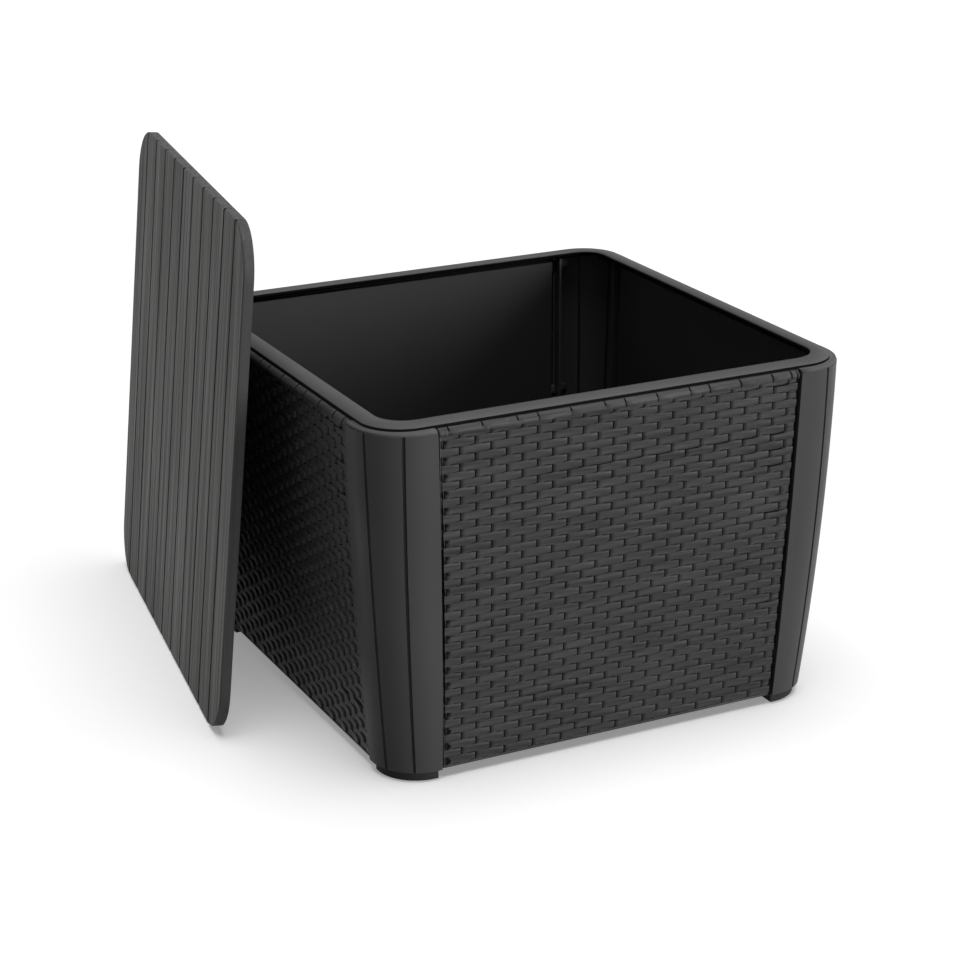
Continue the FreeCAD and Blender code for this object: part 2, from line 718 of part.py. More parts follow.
def make_lid_panel(name):
    """The slatted table top, with a skirt that fits round the raised band."""
    body = new_body(name)
    plan = new_sketch(body, "plan")
    rounded_square(plan, LID_HALF, LID_ROUND)
    pad(body, plan, cell("lid_height"))
    top = value(cell("lid_height"))
    dress(body, "Chamfer", "Size", cell("lid_edge"), lambda spot, edge: abs(spot.z - top) < 0.001)
    hollow = new_sketch(body, "hollow")
    skirt = f"({LID_HALF} - {SKIRT_INNER_HALF})"
    rounded_square(hollow, SKIRT_INNER_HALF, f"({LID_ROUND} - {skirt})")
    pocket(body, hollow, SKIN_UNDERSIDE, reverse=True)
    grooves = new_sketch(body, "grooves", offset=cell("lid_height"))
    pitch = f"(2 * ({LID_HALF} + {cell('slat_trim')}) / {cell('slat_count')})"
    for number in range(1, round(value(cell("slat_count")))):
        middle = f"(({number} - {cell('slat_count')} / 2) * {pitch})"
        low = f"({middle} - {cell('slat_groove')} / 2)"
        high = f"({middle} + {cell('slat_groove')} / 2)"
        rectangle(grooves, low, f"-{LID_HALF}", high, LID_HALF)
    pocket(body, grooves, cell("slat_groove_depth"))
    body.Placement = lid_placement()
    return body


def make_underframe(name):
    """The ribbed frame under the table top, which drops inside the raised band."""
    body = new_body(name)
    border = new_sketch(body, "border", offset=SKIN_UNDERSIDE)
    half = f"({SKIRT_INNER_HALF} - {cell('underframe_gap')})"
    skirt = f"({LID_HALF} - {SKIRT_INNER_HALF})"
    radius = f"({LID_ROUND} - {skirt} - {cell('underframe_gap')})"
    band = cell("underframe_band")
    rounded_square(border, half, radius)
    rounded_square(border, f"({half} - {band})", f"({radius} - {band})")
    pad(body, border, f"({SKIN_UNDERSIDE} - {cell('rim_thickness')})", reverse=True)
    ring = new_sketch(body, "ring", offset=SKIN_UNDERSIDE)
    wall = cell("underframe_rib")
    rounded_square(ring, UNDERFRAME_HALF, UNDERFRAME_ROUND)
    rounded_square(ring, f"({UNDERFRAME_HALF} - {wall})", f"({UNDERFRAME_ROUND} - {wall})")
    depth = f"({SKIN_UNDERSIDE} + {cell('underframe_drop')})"
    pad(body, ring, depth, reverse=True)
    rib_half = f"({UNDERFRAME_HALF} - {wall} / 2)"
    add_ribs(body, UNDERFRAME_SPREAD, rib_half, SKIN_UNDERSIDE, "underframe_rib", depth)
    body.Placement = lid_placement()
    return body


def lid_placement():
    """Stands the lid on its lower edge and leans a rib of its underframe on the rear left post."""
    lean = math.radians(value(cell("lid_lean")))
    turn = math.radians(value(cell("lid_turn")))
    radius = value(cell("corner_round_top"))
    arc_middle = value(cell("shoulder_half")) - radius
    post_reach = arc_middle * (math.cos(turn) + math.sin(turn)) + radius
    touch = post_reach * math.cos(lean) + value(POST_TOP) * math.sin(lean)
    stand_off = value(cell("underframe_drop")) + value(cell("lid_rest_gap"))
    height = value(LID_HALF) * math.cos(lean)
    distance = (touch + stand_off - height * math.sin(lean)) / math.cos(lean)
    rest_rib = rib_spots(UNDERFRAME_SPREAD, "underframe_rib")[round(value(cell("lid_rest_rib"))) - 1]
    shift = arc_middle * (math.cos(turn) - math.sin(turn)) - value(rest_rib)
    x = -distance * math.cos(turn) + shift * math.sin(turn)
    y = distance * math.sin(turn) + shift * math.cos(turn)
    rotation = FreeCAD.Rotation(-90 - math.degrees(turn), 0, 90 - math.degrees(lean))
    return FreeCAD.Placement(FreeCAD.Vector(x, y, height), rotation)


# Assembly

SIDES = {"rear": 0, "left": 90, "front": 180, "right": 270}
CORNERS = {"rear_right": 0, "rear_left": 90, "front_left": 180, "front_right": 270}

pieces = []
for side, angle in SIDES.items():
    pieces.append(make_wall(f"wall_{side}", angle))
    pieces.append(make_liner(f"liner_{side}", angle))
for corner, angle in CORNERS.items():
    pieces.append(make_post(f"corner_post_{corner}", angle))
    pieces.append(make_foot(f"foot_{corner}", angle))
pieces.append(make_rim("rim_frame"))
pieces.append(make_floor("floor_panel"))
pieces.append(make_lid_panel("lid_panel"))
pieces.append(make_underframe("lid_underframe"))
document.recompute()

for item in document.Objects:
    if "Invalid" in item.State or "Error" in item.State:
        raise RuntimeError(f"{item.Label} failed: {item.State}")
for piece in pieces:
    if piece.Shape.isNull() or not piece.Shape.isValid():
        raise RuntimeError(f"{piece.Label} has no valid shape")

os.makedirs("parts", exist_ok=True)
for piece in pieces:
    piece.Shape.exportStep(f"parts/{piece.Label}.step")
    print(f"{piece.Label}: {len(piece.Shape.Solids)} solid, {piece.Shape.Volume / 1000:.1f} cm3")
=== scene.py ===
# %% [markdown]
# # A storage table with woven-look walls
# This lesson dresses a low square outdoor table whose box stores things. The box has four woven-look walls
# between rounded posts, and a slatted top that is lifted off and leans on its side. All of it is dark resin,
# so the look depends on fine relief and on how a matt surface catches light, much more than on colour.
# The exact solids come first, as a frame that stays where it is. Every size below is in metres.

# %% Load the solids
import math

import bmesh
import bpy
from mathutils import Matrix, Vector


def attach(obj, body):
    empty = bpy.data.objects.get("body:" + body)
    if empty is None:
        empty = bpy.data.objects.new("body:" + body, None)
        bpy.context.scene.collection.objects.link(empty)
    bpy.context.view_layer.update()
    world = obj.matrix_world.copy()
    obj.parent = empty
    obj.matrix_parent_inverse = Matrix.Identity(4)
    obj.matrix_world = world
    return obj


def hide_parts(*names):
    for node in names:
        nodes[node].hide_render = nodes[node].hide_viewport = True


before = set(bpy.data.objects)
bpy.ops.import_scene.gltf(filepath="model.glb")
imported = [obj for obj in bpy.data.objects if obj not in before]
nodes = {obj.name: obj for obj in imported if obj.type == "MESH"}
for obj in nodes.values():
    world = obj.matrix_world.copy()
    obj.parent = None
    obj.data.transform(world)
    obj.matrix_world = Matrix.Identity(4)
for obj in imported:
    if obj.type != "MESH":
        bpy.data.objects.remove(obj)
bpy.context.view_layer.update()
scene = bpy.context.scene
MM = 0.001

# %% [markdown]
# ## The camera
# The picture was taken from the front left, a little above the rim, with a long lens. A camera can be aimed
# with a Track To constraint, but a fitted view also has a small roll, so its three axes are written out from
# the heading, the downward tilt and the roll, and put into one matrix.

# %% Place the camera
HEADING = math.radians(26.149)
TILT = math.radians(19.718)
ROLL = math.radians(-0.512)
CAMERA_SPOT = (-1.2500, -2.4854, 1.2224)


def camera_axes():
    """The camera's directions to the right, up and backward."""
    level = math.cos(TILT)
    forward = Vector((math.sin(HEADING) * level, math.cos(HEADING) * level, -math.sin(TILT)))
    level_right = Vector((math.cos(HEADING), -math.sin(HEADING), 0))
    level_up = level_right.cross(forward)
    right = level_right * math.cos(ROLL) + level_up * math.sin(ROLL)
    up = level_up * math.cos(ROLL) - level_right * math.sin(ROLL)
    return right, up, -forward


camera_data = bpy.data.cameras.new("camera")
camera_data.sensor_width = 36
camera_data.lens = 93.65
camera = bpy.data.objects.new("camera", camera_data)
scene.collection.objects.link(camera)
camera.matrix_world = Matrix.Translation(CAMERA_SPOT) @ Matrix(camera_axes()).transposed().to_4x4()
bpy.context.scene.camera = camera
print("camera lens", camera_data.lens)

# %% [markdown]
# ## The world
# The table stands on a white sweep with only a faint shadow round its foot. White surroundings could be lit
# until they clip, but then the resin would be lit too strongly as well. Here the sky and the lamps stay at a
# plain level, and Light Path adds what the world and the floor lack of white where the camera sees them,
# straight or mirrored. The first helpers put nodes together, and all materials below use them too.

# %% Helpers for nodes
def put(tree, socket, entry):
    """Fill an input: a socket is linked to it, anything else becomes its value."""
    if isinstance(entry, bpy.types.NodeSocket):
        tree.links.new(entry, socket)
    else:
        socket.default_value = entry


def add(tree, kind, settings=None, **values):
    """A node with some of its settings, and with inputs filled by their names."""
    node = tree.nodes.new(kind)
    for key, setting in (settings or {}).items():
        setattr(node, key, setting)
    for key, entry in values.items():
        put(tree, node.inputs[key.replace("_", " ")], entry)
    return node


def calc(tree, operation, *entries):
    """The outcome of one sum; each entry is a number or a socket."""
    node = add(tree, "ShaderNodeMath", {"operation": operation})
    for socket, entry in zip(node.inputs, entries):
        put(tree, socket, entry)
    return node.outputs[0]


def ramp(tree, value, start, end, low, high):
    """A value that runs from low to high while another one runs from start to end."""
    node = add(tree, "ShaderNodeMapRange", Value=value, From_Min=start, From_Max=end, To_Min=low, To_Max=high)
    return node.outputs["Result"]


print("node helpers:", put.__name__, add.__name__, calc.__name__, ramp.__name__)

# %% World
scene.view_settings.view_transform = "Standard"


def seen_by_camera(tree):
    """1 for what the camera sees, straight, mirrored or through glass, 0 for light that falls on things."""
    path = tree.nodes.new("ShaderNodeLightPath").outputs
    bent = calc(tree, "MAXIMUM", path["Is Glossy Ray"], path["Is Transmission Ray"])
    return calc(tree, "MAXIMUM", path["Is Camera Ray"], bent)


def make_world(sky):
    world = bpy.data.worlds.new("white_room")
    scene.world = world
    world.use_nodes = True
    tree = world.node_tree
    background = tree.nodes["Background"]
    background.inputs["Color"].default_value = (1, 1, 1, 1)
    put(tree, background.inputs["Strength"], ramp(tree, seen_by_camera(tree), 0, 1, sky, 1))


make_world(sky=0.1)
print("world:", scene.world.name)

# %% [markdown]
# ## The floor
# The floor is one large face. Where the camera sees it, it is white and glows a little, so that it runs into the
# background without a line and still keeps the table's shadow. As a source of light it is much darker, so the
# sides of the table that face away from the lamps stay dark.

# %% Floor
FLOOR_HALF = 30


def make_floor_white(white, bounce, glow):
    """White where it is seen, darker as a source of light."""
    material = bpy.data.materials.new("floor_white")
    material.use_nodes = True
    tree = material.node_tree
    tree.nodes.clear()
    seen = seen_by_camera(tree)
    diffuse = add(tree, "ShaderNodeBsdfDiffuse", Color=ramp(tree, seen, 0, 1, bounce, white))
    light = add(tree, "ShaderNodeEmission", Strength=calc(tree, "MULTIPLY", seen, glow))
    total = tree.nodes.new("ShaderNodeAddShader")
    for socket, shader in zip(total.inputs, (diffuse, light)):
        put(tree, socket, shader.outputs[0])
    add(tree, "ShaderNodeOutputMaterial", Surface=total.outputs[0])
    return material


def make_floor(material):
    mesh = bpy.data.meshes.new("floor")
    shape = bmesh.new()
    bmesh.ops.create_grid(shape, x_segments=1, y_segments=1, size=FLOOR_HALF)
    shape.to_mesh(mesh)
    shape.free()
    mesh.materials.append(material)
    floor = bpy.data.objects.new("floor", mesh)
    scene.collection.objects.link(floor)
    return floor


floor = make_floor(make_floor_white(white=0.9, bounce=0.15, glow=0.27))
print("floor:", 2 * FLOOR_HALF, "m wide")

# %% [markdown]
# ## The lamps
# One wide lamp lights the table from above and one from the front right. Area lamps would light the near floor
# more than the far floor; a sun lamp with a wide angle is as soft, and lights all of it alike. The front lamp is
# so low that it would draw a long shadow over the floor, so light linking keeps it off the floor.

# %% Lamps
LAMP_DISTANCE = 3        # only to see the lamps beside the table: a sun lamp shines alike from anywhere


def wide_sun(name, toward, strength, spread):
    """A sun lamp whose light goes along a direction, softened over an angle in degrees."""
    data = bpy.data.lights.new(name, "SUN")
    data.energy = strength
    data.angle = math.radians(spread)
    lamp = bpy.data.objects.new(name, data)
    scene.collection.objects.link(lamp)
    lamp.location = -LAMP_DISTANCE * Vector(toward)
    lamp.rotation_mode = "QUATERNION"
    lamp.rotation_quaternion = Vector(toward).to_track_quat("-Z", "Y")
    return lamp


def keep_off(lamp, thing):
    """Let a lamp light everything but one thing."""
    unlit = bpy.data.collections.new(f"not_under_{lamp.name}")
    unlit.objects.link(thing)
    unlit.collection_objects[0].light_linking.link_state = "EXCLUDE"
    lamp.light_linking.receiver_collection = unlit


wide_sun("top_light", (-0.05, 0.1, -1), 2.42, 46)
front_light = wide_sun("front_light", (-0.53, 0.84, -0.09), 4.6, 36)
keep_off(front_light, floor)

# %% [markdown]
# ## Shared shader effects
# Moulded resin is never quite even: the mould is finely etched, and its gloss drifts from place to place.
# Where a mould copies fibre or wood, it also leaves long fine streaks. Each effect is used by more than one
# finish here, so each is a node group that is built once and gets its own values in each material.

# %% Node groups for etched resin and for streaks
def new_group(name, inputs, outputs):
    """An empty shader group with named sockets, and its input and output nodes."""
    tree = bpy.data.node_groups.new(name, "ShaderNodeTree")
    for label, kind, default in inputs:
        socket = tree.interface.new_socket(label, in_out="INPUT", socket_type=kind)
        if default is not None:
            socket.default_value = default
    for label in outputs:
        tree.interface.new_socket(label, in_out="OUTPUT", socket_type="NodeSocketFloat")
    return tree, tree.nodes.new("NodeGroupInput"), tree.nodes.new("NodeGroupOutput")


def make_etch_group():
    """Etched mould: a height for bump, a drift of the gloss and a faint drift of the tone."""
    tree, inside, outside = new_group(
        "etched_resin",
        [("Vector", "NodeSocketVector", None), ("Etch Scale", "NodeSocketFloat", 900.0),
         ("Drift Scale", "NodeSocketFloat", 9.0)],
        ["Height", "Gloss", "Tone"],
    )
    place, etch_scale, drift_scale = (inside.outputs[label] for label in ("Vector", "Etch Scale", "Drift Scale"))
    etch = add(tree, "ShaderNodeTexNoise", Vector=place, Scale=etch_scale, Detail=2.0, Roughness=0.6)
    gloss = add(tree, "ShaderNodeTexNoise", Vector=place, Scale=drift_scale, Detail=4.0)
    tone = add(tree, "ShaderNodeTexNoise", Vector=place, Scale=4.0, Detail=3.0)
    for label, node in (("Height", etch), ("Gloss", gloss), ("Tone", tone)):
        tree.links.new(node.outputs["Fac"], outside.inputs[label])
    return tree


def make_streak_group():
    """Long fine streaks: noise that is drawn out along one direction of its own coordinates."""
    tree, inside, outside = new_group(
        "fibre_streaks",
        [("Vector", "NodeSocketVector", None), ("Across", "NodeSocketVector", (1.0, 1.0, 1.0))],
        ["Height", "Tone"],
    )
    drawn = add(tree, "ShaderNodeVectorMath", {"operation": "MULTIPLY"})
    for socket, label in zip(drawn.inputs, ("Vector", "Across")):
        tree.links.new(inside.outputs[label], socket)
    fine = add(tree, "ShaderNodeTexNoise", Vector=drawn.outputs[0], Scale=1.0, Detail=3.0)
    broad = add(tree, "ShaderNodeTexNoise", Vector=drawn.outputs[0], Scale=0.3, Detail=2.0)
    tree.links.new(fine.outputs["Fac"], outside.inputs["Height"])
    tree.links.new(broad.outputs["Fac"], outside.inputs["Tone"])
    return tree


etch_group = make_etch_group()
streak_group = make_streak_group()
print("groups:", [tree.name for tree in bpy.data.node_groups])

# %% [markdown]
# ## Plain resin for posts, rim, liners and feet
# The real pieces are one graphite resin from differently etched moulds. One function builds the material, and
# each kind of piece gets its own tone and gloss; the rim's own tone is raised as painted top light, and the
# liners' own tone is lowered as painted shade inside the box. The resin is dull, so its specular level is set low
# on the shader itself and the tone does most of the work. The last finish is near-black painted shade for narrow
# gaps and for faces in deep shade.

# %% Helpers for finishes
NOISE_RANGE = (0.3, 0.7)   # where the values of a noise mostly lie


def between(tree, noise, low, high):
    """A value that runs from low to high as a noise runs over its usual range."""
    return ramp(tree, noise, *NOISE_RANGE, low, high)


def blend(tree, factor, start, end):
    """A colour that runs from one colour to another with a factor."""
    node = add(tree, "ShaderNodeMix", {"data_type": "RGBA"}, A=start, B=end, Factor=factor)
    return node.outputs["Result"]


def grey(level, warmth=0.0):
    """A neutral colour; warmth takes a little blue away."""
    return (level, level, level * (1 - warmth), 1)


def use_group(tree, group, **values):
    """A group placed in a material with its own values; gives its outputs."""
    return add(tree, "ShaderNodeGroup", {"node_tree": group}, **values).outputs


def new_resin(name, specular):
    """A material of a given specular level, and its node tree."""
    material = bpy.data.materials.new(name)
    material.use_nodes = True
    shader = material.node_tree.nodes["Principled BSDF"]
    shader.inputs["Specular IOR Level"].default_value = specular
    return material, material.node_tree


def dress(material, colour, roughness, height, strength, depth):
    """Link a colour, a roughness and a bump of some depth to a finish's shader."""
    tree = material.node_tree
    bump = add(tree, "ShaderNodeBump", Strength=strength, Distance=depth, Height=height)
    inputs = tree.nodes["Principled BSDF"].inputs
    for label, socket in (("Base Color", colour), ("Roughness", roughness), ("Normal", bump.outputs["Normal"])):
        tree.links.new(socket, inputs[label])


print("usual range of a noise:", NOISE_RANGE)

# %% Plain resin
SHADE_SPECULAR = 0.05       # specular level of the gaps
MATT = 0.08        # specular level of the rim, which shows no sheen from the side
DULL = 0.15        # specular level of posts, liners, feet and weave
SOFT = 0.26        # specular level of the top, where the mould was smoother


def make_resin(name, tone, gloss=(0.42, 0.55), specular=DULL):
    """Etched resin; its tone and its roughness drift between two values each."""
    material, tree = new_resin(name, specular)
    place = tree.nodes.new("ShaderNodeTexCoord").outputs["Object"]
    mould = use_group(tree, etch_group, Vector=place, Etch_Scale=900.0)
    colour = blend(tree, between(tree, mould["Tone"], 0, 1), grey(tone[0]), grey(tone[1]))
    dress(material, colour, between(tree, mould["Gloss"], *gloss), mould["Height"], strength=0.12, depth=0.3 * MM)
    return material


post_resin = make_resin("post_resin", (0.039, 0.047))
# The rim's own resin tone, raised above the posts' as painted top light.
rim_resin_painted_light = make_resin("rim_resin_painted_light", (0.073, 0.084), gloss=(0.68, 0.8), specular=MATT)
# The liners' own resin tone, lowered as painted shade inside the box; the floor panel gets it too.
liner_resin_painted_shade = make_resin("liner_resin_painted_shade", (0.020, 0.026), gloss=(0.45, 0.6))
foot_resin = make_resin("foot_resin", (0.015, 0.020), gloss=(0.5, 0.65))
# Near-black resin: painted shade for narrow gaps and for faces in deep shade.
painted_shade_resin = make_resin("painted_shade_resin", (0.002, 0.004), gloss=(0.8, 0.9), specular=SHADE_SPECULAR)
print("plain finishes:", *(finish.name for finish in (post_resin, rim_resin_painted_light, liner_resin_painted_shade, foot_resin, painted_shade_resin)))

# %% [markdown]
# ## Painted shade in the posts' grooves
# Two narrow grooves run up each post, and shade falls deep in them, so the resin there is darkened as painted
# shade. The dark line could be painted on a map, but each groove keeps its place on the corner's arc from foot to
# top. So the material folds the four corners into one, finds the angle round the middle of the arc, and darkens
# the resin where that angle is the groove's.

# %% Grooves of the posts
WALL_FOOT = 12 * MM                  # height at which walls and posts start
WALL_RISE = 393.5 * MM               # height over which they flare
ARC_FOOT = 217 * MM                  # how far out the arc of a post has its middle, at the foot
ARC_FLARE = 31 * MM                  # how far it moves out on the way up
ARC_BEND = -14 * MM                  # how far it bends back on the way up
GROOVE_FOOT = math.radians(17.4)     # angle from the middle of the post to a groove, at the foot
GROOVE_FLARE = math.radians(4.0)     # by how much that angle grows on the way up
GROOVE_SHADE = (0.022, 0.034)         # angles from a groove at which the painted shade thins and ends, in radians
PAINTED_SHADE_TONE = 0.004                         # tone of the painted shade in grooves and hollows


def groove_shade_mask(tree):
    """1 in the grooves of the four posts, 0 beside them."""
    spot = tree.nodes.new("ShaderNodeTexCoord").outputs["Object"]
    x, y, height = add(tree, "ShaderNodeSeparateXYZ", Vector=spot).outputs
    rise = calc(tree, "DIVIDE", calc(tree, "SUBTRACT", height, WALL_FOOT), WALL_RISE)
    bend = calc(tree, "MULTIPLY", calc(tree, "MULTIPLY", rise, rise), ARC_BEND)
    middle = calc(tree, "ADD", calc(tree, "MULTIPLY_ADD", rise, ARC_FLARE, ARC_FOOT), bend)
    across, along = (calc(tree, "SUBTRACT", calc(tree, "ABSOLUTE", side), middle) for side in (x, y))
    angle = calc(tree, "SUBTRACT", calc(tree, "ARCTAN2", along, across), math.pi / 4)
    groove = calc(tree, "MULTIPLY_ADD", rise, GROOVE_FLARE, GROOVE_FOOT)
    beside = calc(tree, "SUBTRACT", calc(tree, "ABSOLUTE", angle), groove)
    return ramp(tree, calc(tree, "ABSOLUTE", beside), *GROOVE_SHADE, 1, 0)


def darken(material, mask, tone=PAINTED_SHADE_TONE):
    """Mix a dark tone into a finish where a mask is 1."""
    tree = material.node_tree
    link = tree.nodes["Principled BSDF"].inputs["Base Color"].links[0]
    tree.links.new(blend(tree, mask, link.from_socket, grey(tone)), link.to_socket)


# Painted shade: a near-black tone mixed into the posts' resin in their grooves.
darken(post_resin, groove_shade_mask(post_resin.node_tree))
print(post_resin.name, "nodes:", len(post_resin.node_tree.nodes))

# %% [markdown]
# ## Fibre resin for the weave
# A strand is a flat imitation fibre: fine streaks run along it, and no two strands have quite the same tone.
# The streaks have to turn with each wall, so they read the wall's own map, which counts metres along the strand
# and up the wall, instead of Object coordinates. Where a strand dives under its neighbours, shade falls, and it
# is painted there as a near-black tone; the mesh says where that is by an attribute named hollow.

# %% Weave resin
HOLLOW_SHADE = (0.05, 0.6)            # values of the attribute at which the painted shade starts and is full


def make_weave_resin(name, tone):
    material, tree = new_resin(name, DULL)
    strand = add(tree, "ShaderNodeUVMap", {"uv_map": "strand_map"}).outputs["UV"]
    fibre = use_group(tree, streak_group, Vector=strand, Across=(30, 800, 1))
    place = tree.nodes.new("ShaderNodeTexCoord").outputs["Object"]
    mould = use_group(tree, etch_group, Vector=place, Drift_Scale=60.0)
    colour = blend(tree, between(tree, fibre["Tone"], 0, 1), grey(tone[0]), grey(tone[1]))
    dress(material, colour, between(tree, mould["Gloss"], 0.42, 0.56), fibre["Height"], strength=0.6, depth=0.4 * MM)
    hollow = add(tree, "ShaderNodeAttribute", {"attribute_name": "hollow"}).outputs["Fac"]
    # Painted shade where the strands are hollow: under their neighbours, on the backing and on the border's backs.
    darken(material, ramp(tree, hollow, *HOLLOW_SHADE, 0, 1))
    return material


weave_resin = make_weave_resin("weave_resin", (0.019, 0.052))
print(weave_resin.name, "nodes:", len(weave_resin.node_tree.nodes))

# %% [markdown]
# ## Wood-look resin for the top
# The top copies eleven boards: streaks run along them, and each board has its own tone, a touch warmer than the
# box. The top leans, so a Mapping node of the Texture kind carries Object coordinates back into the lid's own
# axes: X across the boards, Y along them. Dividing X by the boards' pitch and rounding down numbers the boards,
# and what is left over says how far the groove between two boards is, where the resin is darkened as painted
# shade. The plain edge below the boards is a little darker too.

# %% Top resin
LID_PLACE = Vector((-314.8, 212.4, 292.3)) * MM
LID_TURN = (math.radians(84.45), 0, math.radians(-98.23))
BOARD = 53.836 * MM                  # pitch of the boards
BOARDS = 11
BOARD_SHARE = 0.35                   # how much of the tone is the board's own; the rest is grain
BOARD_SHADE = (1.6 * MM, 2.4 * MM)    # distances from the middle of a groove at which the painted shade thins and ends
WARMTH = 0.05
EDGE_LEVEL = 10.4 * MM               # where the lid's plain edge meets the bevel of the slatted face
EDGE_BLEND = 0.3 * MM
EDGE_TONE = 0.034


def make_top_resin(name, tone):
    material, tree = new_resin(name, SOFT)
    place = tree.nodes.new("ShaderNodeTexCoord").outputs["Object"]
    lid = add(tree, "ShaderNodeMapping", {"vector_type": "TEXTURE"},
              Vector=place, Location=LID_PLACE, Rotation=LID_TURN).outputs["Vector"]
    grain = use_group(tree, streak_group, Vector=lid, Across=(900, 10, 900))
    across, _, level = add(tree, "ShaderNodeSeparateXYZ", Vector=lid).outputs
    count = calc(tree, "ADD", calc(tree, "DIVIDE", across, BOARD), BOARDS / 2)
    board = add(tree, "ShaderNodeTexWhiteNoise", {"noise_dimensions": "1D"}, W=calc(tree, "FLOOR", count))
    own_tone = calc(tree, "MULTIPLY", board.outputs["Value"], BOARD_SHARE)
    mixed = calc(tree, "ADD", between(tree, grain["Tone"], 0, 1 - BOARD_SHARE), own_tone)
    colour = blend(tree, mixed, grey(tone[0], WARMTH), grey(tone[1], WARMTH))
    dress(material, colour, between(tree, grain["Tone"], 0.78, 0.5), grain["Height"], strength=0.5, depth=0.3 * MM)
    darken(material, ramp(tree, level, EDGE_LEVEL, EDGE_LEVEL + EDGE_BLEND, 1, 0), EDGE_TONE)
    beside = calc(tree, "MULTIPLY", calc(tree, "PINGPONG", count, 0.5), BOARD)
    # Painted shade in the grooves between the boards.
    darken(material, ramp(tree, beside, *BOARD_SHADE, 1, 0))
    return material


top_resin = make_top_resin("top_resin", (0.020, 0.084))
print(top_resin.name, "nodes:", len(top_resin.node_tree.nodes))

# %% [markdown]
# ## Finishes on the solids
# Posts, liners, feet, the floor panel and the top have their right shape as solids, so they only need a finish:
# the material slots are cleared and filled again, and the mesh is left alone. Walls and rim get one as well,
# though pieces that are made below stand in for them.

# %% Put the finishes on the solids
FINISHES = {
    "corner_post": post_resin,
    "rim_frame": rim_resin_painted_light,
    "liner": liner_resin_painted_shade,
    "floor_panel": liner_resin_painted_shade,
    "foot": foot_resin,
    "lid_panel": top_resin,
    "lid_underframe": foot_resin,
    "wall": weave_resin,
}
for name, solid in nodes.items():
    finish = next(material for start, material in FINISHES.items() if name.startswith(start))
    solid.data.materials.clear()
    solid.data.materials.append(finish)
print("finished solids:", len(nodes))

# %% [markdown]
# ## One woven strand
# Each wall is moulded to look like wicker: forty-two flat strands lie one above the other, and each goes over
# one upright and under the next, so that the strands show as a brickwork of raised patches. A patch rises
# slowly from its left end and falls away sharply at its right end, where its lower edge draws up a little.
# A bump map could paint this, but the light on the edges and the dark gaps are the whole look, so the strands
# are real geometry. A strand is one grid whose columns are moved to where the relief bends, and whose long
# edges turn down to the backing.

# %% Sizes of the weave
FACE_FOOT = 268.5 * MM               # how far the woven face is from the table's middle, at the foot
FACE_FLARE = 23 * MM                 # how far the face moves out on the way up
FACE_SWELL = 14 * MM                 # how much it swells between foot and top
PANEL_FOOT = 210.6 * MM              # half the panel's width between the posts' seams, at the foot
PANEL_FLARE = 10 * MM                # how much that half grows on the way up
PANEL_FULL = 221 * MM                # half the panel's width for which the lengths along a strand are given
WALL_HEM = 404.7 * MM                # height at which the strands end and the border starts
STRANDS = 42
PITCH = 9.28 * MM                    # from one strand to the next
OVERLAP = 0.02 * MM                  # by which a strand's long edges pass under its neighbours
PERIOD = 36.5 * MM                   # over one upright and under the next
MOST_PERIODS = 13                    # enough to cross the wall
FIRST_END = -197.5 * MM              # right-hand end of a raised patch in the top strand
BACKING = 3.3 * MM                   # depth of the backing behind the wall's face
EDGE_BAR = 2.2 * MM                  # the plain bar round the panel
SEAM_GAP = 2.0 * MM                  # the open seam between that bar and the post
TUCK = 0.2 * MM                      # how far strands and bars reach into what holds them
FLUSH = 2.4 * MM                     # height over the backing at which neighbouring strands meet


def wall_face(height):
    """How far the wall's woven face is from the middle of the table; the face swells a little half-way up."""
    rise = (height - WALL_FOOT) / WALL_RISE
    return FACE_FOOT + FACE_FLARE * rise + FACE_SWELL * rise * (1 - rise)


def panel_half(height):
    """Half the width of the panel between the posts' seams."""
    return PANEL_FOOT + PANEL_FLARE * (height - WALL_FOOT) / WALL_RISE


print("woven face:", wall_face(WALL_FOOT), "to", wall_face(WALL_HEM), "m from the middle")

# %% Strands
# One period of a strand: place, thickness over the backing, and how far its lower edge draws up, in mm
RELIEF = (
    (0.000, 0.10, 1.4), (0.056, 0.10, 0.6), (0.062, 2.35, 0.0), (0.20, 2.35, 0.0), (0.27, 2.35, 0.75),
    (0.45, 2.40, 0.70), (0.50, 2.45, 0.0), (0.62, 2.90, 0.0), (0.75, 3.50, 0.0), (0.82, 3.85, 0.3),
    (0.90, 4.10, 0.95), (0.96, 4.20, 1.3), (0.985, 4.05, 1.4),
)
# Across a strand: place from its lower to its upper edge, and the share of what stands out there
SECTION = (
    (-1, None), (-1, 0), (-0.965, 0.6), (-0.82, 0.95), (0, 1),
    (0.74, 0.98), (0.89, 0.8), (0.97, 0.45), (1, 0), (1, None),
)


def strand_columns(first_end, period, half):
    """Places across the wall where the relief bends, each with its thickness and drawn-up edge."""
    start = first_end - period * math.ceil((first_end + half) / period)
    columns = []
    for count in range(-1, MOST_PERIODS):
        for turn, thick, drawn in RELIEF:
            place = start + (count + turn) * period
            if -half < place < half:
                columns.append((place, thick * MM, drawn * MM))
    return [(-half, *columns[0][1:]), *columns, (half, *columns[-1][1:])]


def grid_points(shape, columns, rows):
    """A flat grid, given as its vertices, each after its column and row number."""
    made = bmesh.ops.create_grid(shape, x_segments=columns - 1, y_segments=rows - 1, size=1)["verts"]
    return [(round((vert.co.x + 1) / 2 * (columns - 1)), round((vert.co.y + 1) / 2 * (rows - 1)), vert)
            for vert in made]


def strand_thickness(thick, share):
    """Thickness over the backing: nothing at the back edges, flush at the long edges, full in the middle."""
    if share is None:
        return 0
    flush = min(thick, FLUSH)
    return flush + (thick - flush) * share


